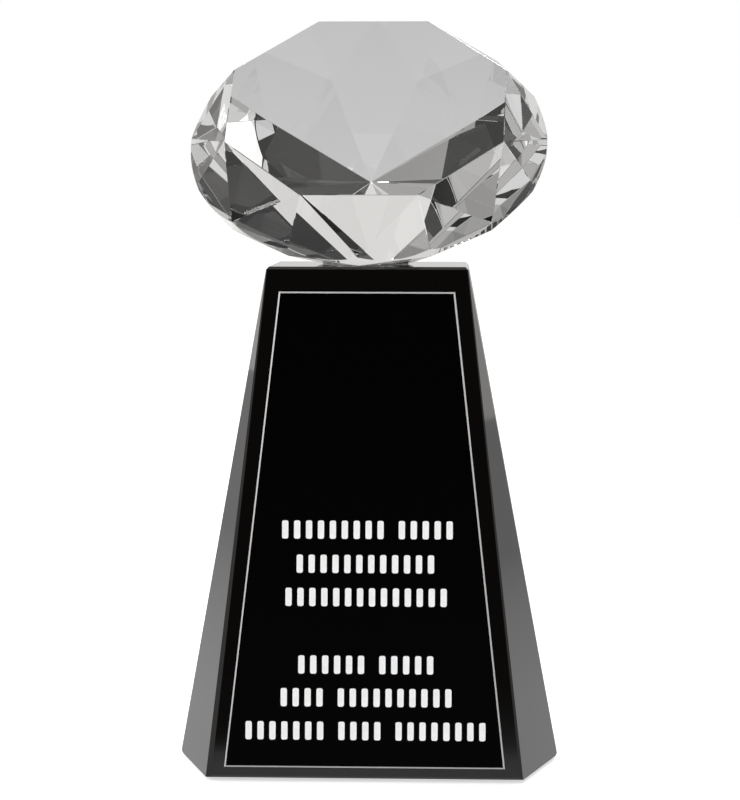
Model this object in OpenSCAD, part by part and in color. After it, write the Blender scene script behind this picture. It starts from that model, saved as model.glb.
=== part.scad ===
// Crystal award: a clear faceted diamond glued on a black crystal pedestal,
// with a thin engraving plate on the front of the pedestal. Millimetres, Z up.
// The front of the award faces -Y.

/* [Diamond] */
// Diameter of the diamond across its girdle
gem_d = 80; // [60:1:100]
// Width of the table, corner to corner, as a share of the diameter
table_share = 0.83; // [0.76:0.01:0.86]
// Height of the crown above the middle of the girdle, as a share of the diameter
crown_share = 0.136; // [0.11:0.002:0.15]
// Slope of the pavilion mains, which is also how far the diamond leans forward
pavilion_angle = 40; // [37:0.5:43]
// Where the lower halves meet on each pavilion ridge, as a share of the radius
lower_half_share = 0.65; // [0.5:0.01:0.75]
// Half height of the girdle at the corners of the facets
girdle_half = 1.1; // [0.9:0.1:1.5]
// How far the diamond is turned about the vertical, in degrees
gem_turn = -2; // [-4:0.5:4]

/* [Pedestal] */
// Height of the pedestal's top above the table it stands on
pedestal_top_z = 110; // [90:1:130]
// Width of the pedestal's top
top_w = 43.2; // [38:0.2:50]
// Depth of the pedestal's top
top_depth = 38; // [30:1:46]
// Width of the front face along its bottom edge
front_w = 67.6; // [60:0.2:76]
// Width of the pedestal across its widest corners, at the bottom
base_w = 84; // [78:1:96]
// Depth of the pedestal at the bottom
base_depth = 60; // [52:1:76]
// Width of each side face along its bottom edge
side_w = 5; // [2:1:12]
// Size of the fine bevel round the top and bottom edges
edge_bevel = 0.5; // [0.3:0.1:1]
// Width at the bottom of the long bevel down the front left corner
left_bevel = 1.9; // [0.8:0.1:2.4]
// Width at the bottom of the long bevel down the front right corner
right_bevel = 0.9; // [0.4:0.1:2]
// How far the middle of the diamond's lower rim sits behind the top front edge
rim_setback = 0.5; // [0:0.1:4]

/* [Engraving plate] */
// Width of the plate along its top edge
plate_top_w = 37.8; // [30:0.2:39]
// Width of the plate along its bottom edge
plate_bottom_w = 60; // [50:0.2:62]
// Gap between the plate and the top edge of the front face
plate_top_gap = 5.4; // [3:0.1:12]
// Gap between the plate and the bottom edge of the front face
plate_bottom_gap = 2.4; // [2:0.1:10]
// Thickness of the plate
plate_t = 0.8; // [0.5:0.1:1.5]
// Width of the bright bevel round the plate
plate_bevel = 0.5; // [0.3:0.05:0.7]

/* [Adhesive and feet] */
// Thickness of the cured glue under the diamond
glue_t = 0.2; // [0.1:0.05:0.4]
// Thickness of the tape behind the plate
tape_t = 0.2; // [0.1:0.05:0.4]
// How far the tape stops short of the plate's edge
tape_inset = 1; // [0.5:0.5:3]
// Diameter of each bumper foot
foot_d = 9; // [6:0.5:12]
// Height of each bumper foot
foot_h = 1; // [0.8:0.1:3]
// Sideways distance from the centre line to each foot
foot_x = 26; // [20:1:28]
// Front to back distance from the centre line to each foot
foot_y = 19; // [14:1:21]

/* [Hidden] */
$fn = 96;

// Diamond, in its own frame: axis along Z, middle of the girdle at Z = 0
gem_r = gem_d / 2;
table_r = gem_r * table_share;
crown_h = gem_d * crown_share;
lower_r = gem_r * lower_half_share;
main_slope = tan(pavilion_angle);
culet_z = -girdle_half - gem_r * main_slope;

// Seat of the diamond on the pedestal
gem_z = pedestal_top_z + glue_t - culet_z * cos(pavilion_angle);
rim_back = gem_r * cos(pavilion_angle) - girdle_half * sin(pavilion_angle);
gem_y = -top_depth / 2 + rim_setback + rim_back;
culet_y = gem_y - culet_z * sin(pavilion_angle);

// Pedestal corners, right front quarter
ped_z0 = foot_h;
top_x = top_w / 2;
top_y = top_depth / 2;
front_x = front_w / 2;
base_x = base_w / 2;
base_y = base_depth / 2;
side_y = side_w / 2;
cut_size = 400;

// Lean of the front face, and its length from the top edge to the bottom edge
face_lean = atan2(base_y - top_y, pedestal_top_z - ped_z0);
face_len = norm([base_y - top_y, pedestal_top_z - ped_z0]);
plate_h = face_len - plate_top_gap - plate_bottom_gap;

// The award's box reaches from the plate's lower edge to the diamond's back
gem_back = gem_y + gem_r * cos(pavilion_angle) + girdle_half * sin(pavilion_angle);
plate_front = base_y - (plate_bottom_gap + plate_bevel) * sin(face_lean)
    + (tape_t + plate_t) * cos(face_lean);
frame_y = -(gem_back - plate_front) / 2;

// Flats along each girdle facet of the diamond
girdle_steps = 5;

function unit(v) = v / norm(v);
// Outward normal of a facet: the one that points away from the axis and out from inner
function away(p, q, r, inner) =
    let (n = unit(cross(q - p, r - p)))
    n * (p - inner) > 0 ? n : -n;

// Everything beyond the plane through p with outward normal n
module beyond(p, n) {
    translate(p)
        rotate([0, acos(n[2]), atan2(n[1], n[0])])
            translate([-cut_size / 2, -cut_size / 2, 0])
                cube(cut_size);
}

// Everything beyond the plane through three corners of a facet
module beyond_facet(p, q, r, inner = [0, 0, 0]) {
    beyond(p, away(p, q, r, inner));
}

function round_at(r, a, z) = [r * cos(a), r * sin(a), z];

// Height, above or below the point (x, y), of the plane through three corners
function plane_z(p, q, r, x, y) =
    let (n = cross(q - p, r - p))
    p[2] - (n[0] * (x - p[0]) + n[1] * (y - p[1])) / n[2];

// Corners of the stone. Mains are centred on multiples of 45 degrees, and the
// corners of the table lie half way between them.
ridge_z = culet_z + lower_r * cos(22.5) * main_slope;
function table_corner(k) = round_at(table_r, 45 * k + 22.5, crown_h);
function ridge_corner(k) = round_at(lower_r, 45 * k + 22.5, ridge_z);
function girdle_corner(k, side) = round_at(gem_r, 22.5 * k, side * girdle_half);

// Where the round girdle meets the halves, a share t of the way along half k
function girdle_point(k, t, side) =
    let (inner = side > 0 ? table_corner(floor(k / 2)) : ridge_corner(floor(k / 2)),
         p = round_at(gem_r, 22.5 * (k + t), 0))
    [p[0], p[1], plane_z(inner, girdle_corner(k, side), girdle_corner(k + 1, side), p[0], p[1])];

// One brilliant cut stone, axis along Z: table, stars, upper halves, a round
// girdle, lower halves and pavilion mains
module stone() {
    corners = [
        for (k = [0 : 7]) table_corner(k),
        for (k = [0 : 7]) ridge_corner(k),
        [0, 0, culet_z],
        for (k = [0 : 15]) for (t = [0 : 1 / girdle_steps : 0.999]) for (side = [-1, 1])
            girdle_point(k, t, side)
    ];
    hull()
        polyhedron(points = corners, faces = [[for (i = [0 : len(corners) - 1]) i]]);
}

module diamond() {
    color([0.93, 0.95, 0.96, 0.45])
        translate([0, frame_y + gem_y, gem_z])
            translate([0, culet_y - gem_y, 0]) rotate([0, 0, gem_turn])
                translate([0, gem_y - culet_y, 0])
                    rotate([pavilion_angle, 0, 0])
                        stone();
}

// The main that the stone rests on, laid flat, with its point at the origin
module seat_outline() {
    seat_len = gem_r / cos(pavilion_angle);
    side_len = lower_r * cos(22.5) / cos(pavilion_angle);
    side_x = lower_r * sin(22.5);
    polygon([[0, -seat_len + 1.5], [side_x - 0.4, -side_len], [0, -0.8], [0.4 - side_x, -side_len]]);
}

module gem_adhesive() {
    color([0.85, 0.9, 0.92, 0.6])
        translate([0, frame_y, pedestal_top_z])
            linear_extrude(glue_t)
                intersection() {
                    translate([0, culet_y])
                        rotate([0, 0, gem_turn])
                            seat_outline();
                    square([top_w - 2, top_depth - 2 * edge_bevel - 0.2], center = true);
                }
}

module pedestal() {
    ftr = [top_x, -top_y, pedestal_top_z];
    ftl = [-top_x, -top_y, pedestal_top_z];
    fbr = [front_x, -base_y, ped_z0];
    fbl = [-front_x, -base_y, ped_z0];
    sbr = [base_x, -side_y, ped_z0];
    sbl = [-base_x, -side_y, ped_z0];
    inner = [0, 0, pedestal_top_z / 2];
    front_n = away(ftr, ftl, fbr, inner);
    corner_r = away(ftr, fbr, sbr, inner);
    corner_l = away(ftl, fbl, sbl, inner);
    color([0.05, 0.05, 0.055])
        translate([0, frame_y, 0])
            difference() {
                translate([-base_x, -base_y, ped_z0])
                    cube([base_w, base_depth, pedestal_top_z - ped_z0]);
                for (m = [0, 1]) mirror([0, m, 0]) {
                    // Front or back face, then its two corner facets
                    beyond(ftr, front_n);
                    beyond(ftr, corner_r);
                    beyond(ftl, corner_l);
                    // Fine bevel along the top and bottom edges of the face
                    beyond([0, -top_y + edge_bevel, pedestal_top_z],
                           unit([0, -1, 1]));
                    beyond([0, -base_y + edge_bevel, ped_z0], unit([0, -1, -1]));
                }
                for (m = [0, 1]) mirror([m, 0, 0]) {
                    // Side face and the bevels along its ends
                    side_n = away(ftr, [top_x, top_y, pedestal_top_z], sbr, inner);
                    beyond(ftr, side_n);
                    beyond([top_x - edge_bevel, 0, pedestal_top_z], unit([1, 0, 1]));
                    beyond([base_x - edge_bevel, 0, ped_z0], unit([1, 0, -1]));
                }
                // Long bevels down the two front corners, widest at the bottom
                beyond_facet(ftr + [-0.15, 0, 0], fbr + [-right_bevel / 2, 0, 0],
                             fbr + right_bevel / 2 * unit(sbr - fbr), inner);
                beyond_facet(ftl + [0.15, 0, 0], fbl + [left_bevel / 2, 0, 0],
                             fbl + left_bevel / 2 * unit(sbl - fbl), inner);
            }
}

// Put a flat thing on the front face: X across, Y up the face, Z out of it,
// from the middle of the bottom edge of the face
module on_front_face() {
    translate([0, frame_y - base_y, ped_z0])
        rotate([90 - face_lean, 0, 0])
            children();
}

module engraving_plate() {
    half_b = plate_bottom_w / 2;
    half_t = plate_top_w / 2;
    y0 = plate_bottom_gap;
    y1 = plate_bottom_gap + plate_h;
    edge_n = unit([plate_h, half_b - half_t, 0]);
    color([0.75, 0.75, 0.77])
        on_front_face()
            translate([0, 0, tape_t])
                difference() {
                    linear_extrude(plate_t)
                        polygon([[-half_b, y0], [half_b, y0], [half_t, y1], [-half_t, y1]]);
                    // Bright bevels round the face of the plate
                    rim = plate_t - plate_bevel;
                    beyond([0, y0, rim], unit([0, -1, 1]));
                    beyond([0, y1, rim], unit([0, 1, 1]));
                    beyond([half_b, y0, rim], unit([edge_n[0], edge_n[1], 1]));
                    beyond([-half_b, y0, rim], unit([-edge_n[0], edge_n[1], 1]));
                }
}

module plate_adhesive() {
    half_b = plate_bottom_w / 2 - tape_inset;
    half_t = plate_top_w / 2 - tape_inset;
    y0 = plate_bottom_gap + tape_inset;
    y1 = plate_bottom_gap + plate_h - tape_inset;
    color([0.5, 0.5, 0.5])
        on_front_face()
            linear_extrude(tape_t)
                polygon([[-half_b, y0], [half_b, y0], [half_t, y1], [-half_t, y1]]);
}

// One bumper foot with a rounded lower edge, at one corner of the underside
module foot(sx, sy) {
    foot_round = 0.5;
    foot_r = foot_d / 2;
    color([0.12, 0.12, 0.12])
        translate([sx * foot_x, frame_y + sy * foot_y, 0])
            rotate_extrude()
                union() {
                    translate([0, foot_round])
                        square([foot_r, foot_h - foot_round]);
                    square([foot_r - foot_round, foot_round]);
                    translate([foot_r - foot_round, foot_round])
                        intersection() {
                            circle(r = foot_round);
                            translate([0, -foot_round])
                                square(foot_round);
                        }
                }
}

module foot_front_left() { foot(-1, -1); }
module foot_front_right() { foot(1, -1); }
module foot_back_left() { foot(-1, 1); }
module foot_back_right() { foot(1, 1); }

diamond();
gem_adhesive();
pedestal();
engraving_plate();
plate_adhesive();
foot_front_left();
foot_front_right();
foot_back_left();
foot_back_right();
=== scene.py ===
import math

import bmesh
import bpy
from mathutils import Matrix, Vector


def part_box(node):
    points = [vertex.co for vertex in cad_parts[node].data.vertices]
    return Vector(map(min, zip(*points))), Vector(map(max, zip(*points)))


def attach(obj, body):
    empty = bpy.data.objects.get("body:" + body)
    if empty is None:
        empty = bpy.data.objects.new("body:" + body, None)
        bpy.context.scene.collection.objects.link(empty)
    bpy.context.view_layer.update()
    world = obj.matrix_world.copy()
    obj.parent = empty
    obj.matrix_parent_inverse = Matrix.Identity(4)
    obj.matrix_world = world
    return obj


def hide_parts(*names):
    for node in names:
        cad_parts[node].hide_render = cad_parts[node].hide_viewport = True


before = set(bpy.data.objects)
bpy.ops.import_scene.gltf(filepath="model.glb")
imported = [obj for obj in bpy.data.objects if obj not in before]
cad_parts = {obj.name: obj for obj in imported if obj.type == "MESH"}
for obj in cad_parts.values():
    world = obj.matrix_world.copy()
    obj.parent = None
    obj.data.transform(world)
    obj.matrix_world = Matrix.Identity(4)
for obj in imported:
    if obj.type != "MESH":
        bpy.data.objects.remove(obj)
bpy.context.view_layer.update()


# ---------------------------------------------------------------------------
# Camera: a little above the pedestal's top and 22 mm right of its middle, turned
# and tipped down to face the middle of the award from about 630 mm away.
MM = 0.001
camera_spot = Vector((22.0, -634.1, 129.6)) * MM
camera_yaw, camera_pitch, camera_roll = 0.035, 0.079, 0.002
camera_data = bpy.data.cameras.new("award_camera")
camera_data.sensor_fit = "VERTICAL"
camera_data.sensor_height = 36.0
camera_data.lens = 127.8
camera_data.clip_start = 0.05
camera_data.clip_end = 20.0
camera = bpy.data.objects.new("award_camera", camera_data)
bpy.context.collection.objects.link(camera)
camera.matrix_world = (
    Matrix.Translation(camera_spot)
    @ Matrix.Rotation(camera_yaw, 4, "Z")
    @ Matrix.Rotation(math.pi / 2 - camera_pitch, 4, "X")
    @ Matrix.Rotation(camera_roll, 4, "Z")
)
bpy.context.scene.camera = camera


# ---------------------------------------------------------------------------
# Diamond: one piece of clear optical crystal, ground and polished into flat
# facets with a round girdle. Each facet here is one flat cut across a round
# blank, and every edge keeps the hair-fine bevel that polishing leaves.
pavilion_angle = math.radians(40.0)
gem_turn = math.radians(-2.0)
gem_r = 40.0 * MM
table_r = gem_r * 0.83
crown_h = 2 * gem_r * 0.136
girdle_half = 1.1 * MM
lower_r = gem_r * 0.65
blank_spare = 4 * MM
girdle_flats = 160
merge_gap = 2e-6
flat_angle = math.radians(0.2)
crisp_angle = math.radians(6)
edge_bevel = 0.09 * MM
culet_z = -girdle_half - gem_r * math.tan(pavilion_angle)
ridge_z = culet_z + lower_r * math.cos(math.pi / 8) * math.tan(pavilion_angle)


def round_at(r, turn, z):
    return Vector((r * math.cos(turn), r * math.sin(turn), z))


def facet(a, b, c):
    """A point on a facet and the facet's outward direction."""
    n = (b - a).cross(c - a).normalized()
    return a, n if n.dot(a) > 0 else -n


eighth = math.pi / 4
facets = [(Vector((0, 0, crown_h)), Vector((0, 0, 1)))]
for k in range(8):
    main = eighth * k
    edge = main + eighth / 2
    crown_corner = round_at(table_r, edge, crown_h)
    pavilion_corner = round_at(lower_r, edge, ridge_z)
    facets.append(facet(crown_corner, round_at(table_r, main - eighth / 2, crown_h),
                        round_at(gem_r, main, girdle_half)))
    facets.append((Vector((0, 0, culet_z)),
                   round_at(math.sin(pavilion_angle), main, -math.cos(pavilion_angle))))
    for start in (main, edge):
        for corner, side in ((crown_corner, 1), (pavilion_corner, -1)):
            facets.append(facet(corner, round_at(gem_r, start, side * girdle_half),
                                round_at(gem_r, start + eighth / 2, side * girdle_half)))

stone = bmesh.new()
bmesh.ops.create_cone(stone, cap_ends=True, segments=girdle_flats, radius1=gem_r,
                      radius2=gem_r, depth=crown_h - culet_z + blank_spare)
bmesh.ops.translate(stone, verts=stone.verts, vec=(0, 0, (crown_h + culet_z) / 2))
for point, out in facets:
    cut = bmesh.ops.bisect_plane(stone, geom=stone.verts[:] + stone.edges[:] + stone.faces[:],
                                 dist=1e-7, plane_co=point, plane_no=out, clear_outer=True)
    rim = [e for e in cut["geom_cut"] if isinstance(e, bmesh.types.BMEdge)]
    if rim:
        bmesh.ops.contextual_create(stone, geom=rim)
bmesh.ops.remove_doubles(stone, verts=stone.verts, dist=merge_gap)
bmesh.ops.dissolve_limit(stone, angle_limit=flat_angle, verts=stone.verts,
                         edges=stone.edges)
bmesh.ops.recalc_face_normals(stone, faces=stone.faces)
crisp = [e for e in stone.edges if e.is_manifold and e.calc_face_angle(0) > crisp_angle]
bmesh.ops.bevel(stone, geom=crisp, offset=edge_bevel, offset_type="OFFSET", segments=1,
                profile=0.5, affect="EDGES", clamp_overlap=True, material=-1)

# The stone leans forward until the front main lies flat on the pedestal.
gem_low, gem_high = (Vector(corner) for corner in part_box("diamond"))
bmesh.ops.rotate(stone, verts=stone.verts, cent=(0, 0, 0),
                 matrix=Matrix.Rotation(pavilion_angle, 3, "X"))
bmesh.ops.rotate(stone, verts=stone.verts, cent=(0, 0, 0),
                 matrix=Matrix.Rotation(gem_turn, 3, "Z"))
low = Vector([min(v.co[i] for v in stone.verts) for i in range(3)])
high = Vector([max(v.co[i] for v in stone.verts) for i in range(3)])
bmesh.ops.translate(stone, verts=stone.verts,
                    vec=(gem_low + gem_high - low - high) / 2)

clear_crystal = bpy.data.materials.new("clear_crystal")
clear_crystal.use_nodes = True
nodes, links = clear_crystal.node_tree.nodes, clear_crystal.node_tree.links
shader = nodes["Principled BSDF"]
shader.inputs["Base Color"].default_value = (0.985, 0.99, 0.988, 1)
shader.inputs["Transmission Weight"].default_value = 1.0
shader.inputs["IOR"].default_value = 1.52
# Polish is not quite even: faint smears roughen the surface here and there.
place = nodes.new("ShaderNodeTexCoord")
smear = nodes.new("ShaderNodeTexNoise")
smear.inputs["Scale"].default_value = 40.0
smear.inputs["Detail"].default_value = 5.0
haze = nodes.new("ShaderNodeMapRange")
haze.inputs["From Min"].default_value = 0.45
haze.inputs["From Max"].default_value = 0.8
haze.inputs["To Min"].default_value = 0.0
haze.inputs["To Max"].default_value = 0.004
links.new(place.outputs["Object"], smear.inputs["Vector"])
links.new(smear.outputs["Fac"], haze.inputs["Value"])
links.new(haze.outputs["Result"], shader.inputs["Roughness"])

diamond_mesh = bpy.data.meshes.new("cut_diamond")
stone.to_mesh(diamond_mesh)
stone.free()
diamond = bpy.data.objects.new("cut_diamond", diamond_mesh)
bpy.context.collection.objects.link(diamond)
diamond_mesh.materials.append(clear_crystal)
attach(diamond, "root")
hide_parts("diamond")


# ---------------------------------------------------------------------------
# Glue under the diamond: a film of clear cement, cured by ultraviolet light,
# that fills the gap between the seated facet and the pedestal.
glue = bpy.data.materials.new("clear_cement")
glue.use_nodes = True
shader = glue.node_tree.nodes["Principled BSDF"]
shader.inputs["Base Color"].default_value = (0.95, 0.96, 0.95, 1)
shader.inputs["Roughness"].default_value = 0.06
shader.inputs["Transmission Weight"].default_value = 1.0
shader.inputs["IOR"].default_value = 1.5
bpy.data.objects["gem_adhesive"].data.materials.clear()
bpy.data.objects["gem_adhesive"].data.materials.append(glue)


# ---------------------------------------------------------------------------
# Pedestal: a solid block of black crystal, sawn to a taper, with its corners
# ground off into long facets and all faces polished to a mirror.
black_crystal = bpy.data.materials.new("black_crystal")
black_crystal.use_nodes = True
nodes, links = black_crystal.node_tree.nodes, black_crystal.node_tree.links
shader = nodes["Principled BSDF"]
shader.inputs["Base Color"].default_value = (0.0022, 0.0018, 0.0016, 1)
shader.inputs["IOR"].default_value = 1.54
shader.inputs["Coat Weight"].default_value = 0.15
shader.inputs["Coat IOR"].default_value = 1.5
shader.inputs["Coat Roughness"].default_value = 0.02
place = nodes.new("ShaderNodeTexCoord")
smear = nodes.new("ShaderNodeTexNoise")
smear.inputs["Scale"].default_value = 38.0
smear.inputs["Detail"].default_value = 6.0
haze = nodes.new("ShaderNodeMapRange")
haze.inputs["From Min"].default_value = 0.4
haze.inputs["From Max"].default_value = 0.8
haze.inputs["To Min"].default_value = 0.03
haze.inputs["To Max"].default_value = 0.09
links.new(place.outputs["Object"], smear.inputs["Vector"])
links.new(smear.outputs["Fac"], haze.inputs["Value"])
links.new(haze.outputs["Result"], shader.inputs["Roughness"])
pedestal = bpy.data.objects["pedestal"]
pedestal.data.materials.clear()
pedestal.data.materials.append(black_crystal)


# ---------------------------------------------------------------------------
# Engraving plate: thin metal, coated black on its face, with its edges bevelled
# back to bright metal. It is held to the sloping front by tape.
pedestal_low, pedestal_high = (Vector(corner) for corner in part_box("pedestal"))
pedestal_h = pedestal_high.z - pedestal_low.z
base_half_depth = 30.0 * MM
top_half_depth = 19.0 * MM
face_setback = base_half_depth - top_half_depth
face_lean = math.atan2(face_setback, pedestal_h)
face_len = math.hypot(face_setback, pedestal_h)
plate_bottom_gap = 2.4 * MM
plate_top_gap = 5.4 * MM
plate_y0 = plate_bottom_gap
plate_y1 = face_len - plate_top_gap
half_bottom = 30.0 * MM
half_top = 18.9 * MM
tape_t = 0.2 * MM
plate_t = 0.8 * MM
plate_bevel = 0.5 * MM
pedestal_mid_y = (pedestal_low.y + pedestal_high.y) / 2
to_face = (Matrix.Translation((0, pedestal_mid_y - base_half_depth, pedestal_low.z))
           @ Matrix.Rotation(math.pi / 2 - face_lean, 4, "X"))

plate = bmesh.new()
bmesh.ops.create_grid(plate, x_segments=1, y_segments=1, size=1.0)
for v in plate.verts:
    up = v.co.y > 0
    v.co.x = math.copysign(half_top if up else half_bottom, v.co.x)
    v.co.y = plate_y1 if up else plate_y0
    v.co.z = tape_t
block = bmesh.ops.extrude_face_region(plate, geom=plate.faces[:])
top_verts = [g for g in block["geom"] if isinstance(g, bmesh.types.BMVert)]
bmesh.ops.translate(plate, verts=top_verts, vec=(0, 0, plate_t))
bmesh.ops.recalc_face_normals(plate, faces=plate.faces)
plate_top = [f for f in plate.faces if f.normal.z > 0.9]
bmesh.ops.inset_region(plate, faces=plate_top, thickness=plate_bevel, depth=0.0)
for v in plate.verts:
    if v.co.z > tape_t + plate_t / 2 and not any(v in f.verts for f in plate_top):
        v.co.z -= plate_bevel
for f in plate.faces:
    f.material_index = 0 if f in plate_top else 1

coat = bpy.data.materials.new("black_plate_coat")
coat.use_nodes = True
nodes, links = coat.node_tree.nodes, coat.node_tree.links
shader = nodes["Principled BSDF"]
shader.inputs["Base Color"].default_value = (0.0003, 0.0003, 0.0003, 1)
shader.inputs["Specular IOR Level"].default_value = 0.06
place = nodes.new("ShaderNodeTexCoord")
grain = nodes.new("ShaderNodeTexNoise")
grain.inputs["Scale"].default_value = 900.0
haze = nodes.new("ShaderNodeMapRange")
haze.inputs["To Min"].default_value = 0.24
haze.inputs["To Max"].default_value = 0.34
links.new(place.outputs["Object"], grain.inputs["Vector"])
links.new(grain.outputs["Fac"], haze.inputs["Value"])
links.new(haze.outputs["Result"], shader.inputs["Roughness"])

bright = bpy.data.materials.new("bright_plate_metal")
bright.use_nodes = True
nodes, links = bright.node_tree.nodes, bright.node_tree.links
shader = nodes["Principled BSDF"]
shader.inputs["Base Color"].default_value = (0.86, 0.86, 0.87, 1)
shader.inputs["Metallic"].default_value = 0.55
place = nodes.new("ShaderNodeTexCoord")
grain = nodes.new("ShaderNodeTexNoise")
grain.inputs["Scale"].default_value = 1400.0
haze = nodes.new("ShaderNodeMapRange")
haze.inputs["To Min"].default_value = 0.34
haze.inputs["To Max"].default_value = 0.5
links.new(place.outputs["Object"], grain.inputs["Vector"])
links.new(grain.outputs["Fac"], haze.inputs["Value"])
links.new(haze.outputs["Result"], shader.inputs["Roughness"])

plate.transform(to_face)
plate_mesh = bpy.data.meshes.new("award_plate")
plate.to_mesh(plate_mesh)
plate.free()
award_plate = bpy.data.objects.new("award_plate", plate_mesh)
bpy.context.collection.objects.link(award_plate)
plate_mesh.materials.append(coat)
plate_mesh.materials.append(bright)
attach(award_plate, "root")
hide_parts("engraving_plate")


# ---------------------------------------------------------------------------
# Inscription strokes: where the cut rows go, each row holds runs of short plain
# upright strokes, in pale metal laid bare where the black coat is cut away.
cut_metal = bpy.data.materials.new("cut_metal")
cut_metal.use_nodes = True
nodes, links = cut_metal.node_tree.nodes, cut_metal.node_tree.links
shader = nodes["Principled BSDF"]
shader.inputs["Roughness"].default_value = 0.5
place = nodes.new("ShaderNodeTexCoord")
frost = nodes.new("ShaderNodeTexNoise")
frost.inputs["Scale"].default_value = 1200.0
fade = nodes.new("ShaderNodeMapRange")
fade.inputs["To Min"].default_value = 0.78
fade.inputs["To Max"].default_value = 0.95
shade = nodes.new("ShaderNodeCombineColor")
links.new(place.outputs["Object"], frost.inputs["Vector"])
links.new(frost.outputs["Fac"], fade.inputs["Value"])
for channel in ("Red", "Green", "Blue"):
    links.new(fade.outputs["Result"], shade.inputs[channel])
links.new(shade.outputs["Color"], shader.inputs["Base Color"])

stroke_h = 3.9 * MM
stroke_w = 1.35 * MM
stroke_pitch = 2.55 * MM
stroke_stand = 0.05 * MM
stroke_round = 0.4 * MM
word_gap = 2.0 * MM
# Each row: height up the plate and middle, both in mm, and the strokes in each run
rows = [
    (53.2, 0.4, (9, 5)),
    (45.9, 0.0, (12,)),
    (38.8, 0.2, (14,)),
    (24.4, 0.2, (6, 5)),
    (17.4, 0.3, (4, 10)),
    (10.3, 0.2, (7, 4, 8)),
]
strokes = bmesh.new()
for up, middle, runs in rows:
    total = sum(runs) * stroke_pitch + word_gap * (len(runs) - 1)
    left = middle * MM - total / 2
    for count in runs:
        for step in range(count):
            made = bmesh.ops.create_cube(strokes, size=1.0)
            bmesh.ops.scale(strokes, verts=made["verts"],
                            vec=(stroke_w, stroke_h, stroke_stand))
            bmesh.ops.translate(
                strokes, verts=made["verts"],
                vec=(left + (step + 0.5) * stroke_pitch, up * MM,
                     tape_t + plate_t + stroke_stand / 2))
        left += count * stroke_pitch + word_gap
upright = [e for e in strokes.edges
           if abs((e.verts[0].co - e.verts[1].co).normalized().z) > 0.9]
bmesh.ops.bevel(strokes, geom=upright, offset=stroke_round, offset_type="OFFSET", segments=4,
                profile=0.5, affect="EDGES", clamp_overlap=True, material=-1)
strokes.transform(to_face)
strokes_mesh = bpy.data.meshes.new("inscription_bars")
strokes.to_mesh(strokes_mesh)
strokes.free()
inscription = bpy.data.objects.new("inscription_bars", strokes_mesh)
bpy.context.collection.objects.link(inscription)
strokes_mesh.materials.append(cut_metal)
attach(inscription, "root")


# ---------------------------------------------------------------------------
# Tape behind the plate: thin grey foam tape, sticky on both faces, that holds the
# plate to the pedestal. Only its edge could ever be seen.
tape = bpy.data.materials.new("foam_tape")
tape.use_nodes = True
nodes, links = tape.node_tree.nodes, tape.node_tree.links
shader = nodes["Principled BSDF"]
shader.inputs["Base Color"].default_value = (0.2, 0.2, 0.2, 1)
place = nodes.new("ShaderNodeTexCoord")
cells = nodes.new("ShaderNodeTexNoise")
cells.inputs["Scale"].default_value = 1500.0
haze = nodes.new("ShaderNodeMapRange")
haze.inputs["To Min"].default_value = 0.7
haze.inputs["To Max"].default_value = 0.95
links.new(place.outputs["Object"], cells.inputs["Vector"])
links.new(cells.outputs["Fac"], haze.inputs["Value"])
links.new(haze.outputs["Result"], shader.inputs["Roughness"])
bpy.data.objects["plate_adhesive"].data.materials.clear()
bpy.data.objects["plate_adhesive"].data.materials.append(tape)


# ---------------------------------------------------------------------------
# Four bumper feet: flat black rubber pads with a rounded lower edge, moulded, and
# stuck under the corners of the pedestal to keep it off the table.
rubber = bpy.data.materials.new("foot_rubber")
rubber.use_nodes = True
nodes, links = rubber.node_tree.nodes, rubber.node_tree.links
shader = nodes["Principled BSDF"]
shader.inputs["Base Color"].default_value = (0.02, 0.02, 0.021, 1)
place = nodes.new("ShaderNodeTexCoord")
grain = nodes.new("ShaderNodeTexNoise")
grain.inputs["Scale"].default_value = 1800.0
haze = nodes.new("ShaderNodeMapRange")
haze.inputs["To Min"].default_value = 0.55
haze.inputs["To Max"].default_value = 0.8
bump = nodes.new("ShaderNodeBump")
bump.inputs["Strength"].default_value = 0.3
bump.inputs["Distance"].default_value = 0.0001
links.new(place.outputs["Object"], grain.inputs["Vector"])
links.new(grain.outputs["Fac"], haze.inputs["Value"])
links.new(haze.outputs["Result"], shader.inputs["Roughness"])
links.new(grain.outputs["Fac"], bump.inputs["Height"])
links.new(bump.outputs["Normal"], shader.inputs["Normal"])
for corner_name in ("front_left", "front_right", "back_left", "back_right"):
    foot = bpy.data.objects["foot_" + corner_name]
    foot.data.materials.clear()
    foot.data.materials.append(rubber)


# ---------------------------------------------------------------------------
# Studio: a pale floor under an even white sweep. What the crystal picks up is
# softer: a grey floor behind it, a dark room in front, and lamps beside and behind.
floor_half = 8.0
floor = bmesh.new()
bmesh.ops.create_grid(floor, x_segments=1, y_segments=1, size=floor_half)
floor_mesh = bpy.data.meshes.new("floor")
floor.to_mesh(floor_mesh)
floor.free()
floor_obj = bpy.data.objects.new("floor", floor_mesh)
bpy.context.collection.objects.link(floor_obj)
paper = bpy.data.materials.new("pale_floor")
paper.use_nodes = True
nodes, links = paper.node_tree.nodes, paper.node_tree.links
sheet_white = nodes["Principled BSDF"]
sheet_white.inputs["Base Color"].default_value = (0.8, 0.8, 0.8, 1)
sheet_white.inputs["Roughness"].default_value = 0.9
sheet_white.inputs["Specular IOR Level"].default_value = 0.0
sheet_white.inputs["Emission Color"].default_value = (1, 1, 1, 1)
sheet_white.inputs["Emission Strength"].default_value = 0.6
sheet_grey = nodes.new("ShaderNodeEmission")
place = nodes.new("ShaderNodeTexCoord")
axes = nodes.new("ShaderNodeSeparateXYZ")
fall = nodes.new("ShaderNodeMapRange")
fall.inputs["From Min"].default_value = 0.1
fall.inputs["From Max"].default_value = 0.7
fall.inputs["To Min"].default_value = 0.66
fall.inputs["To Max"].default_value = 0.4
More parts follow.
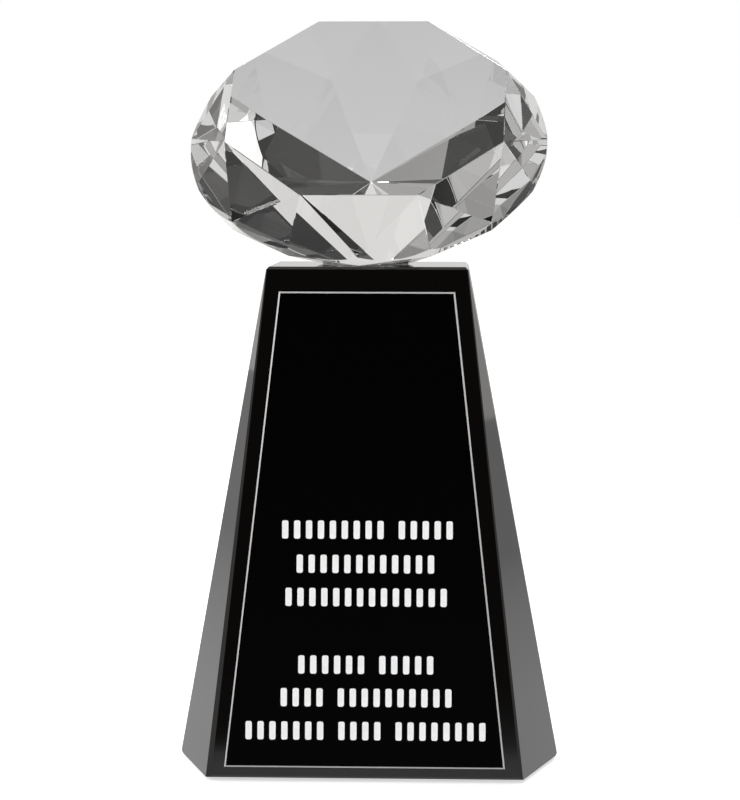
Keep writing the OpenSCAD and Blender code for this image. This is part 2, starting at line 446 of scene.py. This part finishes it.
links.new(place.outputs["Object"], axes.inputs["Vector"])
links.new(axes.outputs["Y"], fall.inputs["Value"])
links.new(fall.outputs["Result"], sheet_grey.inputs["Strength"])
seen = nodes.new("ShaderNodeLightPath")
either = nodes.new("ShaderNodeMixShader")
links.new(seen.outputs["Is Camera Ray"], either.inputs["Fac"])
links.new(sheet_grey.outputs["Emission"], either.inputs[1])
links.new(sheet_white.outputs["BSDF"], either.inputs[2])
links.new(either.outputs["Shader"], nodes["Material Output"].inputs["Surface"])
floor_mesh.materials.append(paper)

world = bpy.data.worlds.new("studio_air")
bpy.context.scene.world = world
world.use_nodes = True
nodes, links = world.node_tree.nodes, world.node_tree.links
sweep = nodes["Background"]
sweep.inputs["Color"].default_value = (1, 1, 1, 1)
sweep.inputs["Strength"].default_value = 1.0
room = nodes.new("ShaderNodeBackground")
aim = nodes.new("ShaderNodeTexCoord")
axes = nodes.new("ShaderNodeSeparateXYZ")
links.new(aim.outputs["Generated"], axes.inputs["Vector"])


def ramp(source, start, end, low, high):
    """A smooth change of brightness with one direction in the room."""
    node = nodes.new("ShaderNodeMapRange")
    node.interpolation_type = "SMOOTHSTEP"
    node.inputs["From Min"].default_value = start
    node.inputs["From Max"].default_value = end
    node.inputs["To Min"].default_value = low
    node.inputs["To Max"].default_value = high
    links.new(source, node.inputs["Value"])
    return node.outputs["Result"]


def combine(operation, one, two):
    node = nodes.new("ShaderNodeMath")
    node.operation = operation
    links.new(one, node.inputs[0])
    links.new(two, node.inputs[1])
    return node.outputs["Value"]


# Dark towards the front, except for a bright window low on the left.
front_dark = ramp(axes.outputs["Y"], -0.3, 0.1, 0.02, 0.74)
window = combine("MULTIPLY", ramp(axes.outputs["X"], -0.7, -0.42, 0.42, 0.0),
                 ramp(axes.outputs["Y"], -0.9, -0.3, 0.4, 1.0))
ceiling = ramp(axes.outputs["Z"], 0.62, 0.95, 0.0, 0.12)
wall = ramp(axes.outputs["X"], 0.72, 0.95, 0.0, 0.5)
glow = combine("ADD", combine("ADD", front_dark, window), combine("ADD", ceiling, wall))
room.inputs["Color"].default_value = (1.0, 0.985, 0.965, 1)
links.new(glow, room.inputs["Strength"])
seen = nodes.new("ShaderNodeLightPath")
either = nodes.new("ShaderNodeMixShader")
links.new(seen.outputs["Is Camera Ray"], either.inputs["Fac"])
links.new(room.outputs["Background"], either.inputs[1])
links.new(sweep.outputs["Background"], either.inputs[2])
links.new(either.outputs["Shader"], nodes["World Output"].inputs["Surface"])

# Each lamp: name, place and size in metres, watts
lamp_target = Vector((0, 0, 0.1))
for name, spot, size, power in (
    ("side_softbox", (-0.9, 0.15, 0.7), 0.5, 5.0),
    ("back_softbox", (0.5, 1.1, 1.0), 0.5, 9.0),
):
    lamp_data = bpy.data.lights.new(name, "AREA")
    lamp_data.size = size
    lamp_data.energy = power
    lamp = bpy.data.objects.new(name, lamp_data)
    lamp.location = spot
    lamp_aim = lamp_target - lamp.location
    lamp.rotation_euler = lamp_aim.to_track_quat("-Z", "Y").to_euler()
    bpy.context.collection.objects.link(lamp)

# A soft front fill that lights the cut strokes but leaves no glint.
fill_data = bpy.data.lights.new("front_fill", "AREA")
fill_data.size = 1.0
fill_data.energy = 20.0
fill = bpy.data.objects.new("front_fill", fill_data)
fill.location = (0.0, -1.4, 0.9)
fill_target = Vector((0, 0, 0.08))
fill_aim = fill_target - fill.location
fill.rotation_euler = fill_aim.to_track_quat("-Z", "Y").to_euler()
fill.visible_glossy = False
fill.visible_transmission = False
bpy.context.collection.objects.link(fill)

bpy.context.scene.view_settings.view_transform = "Standard"
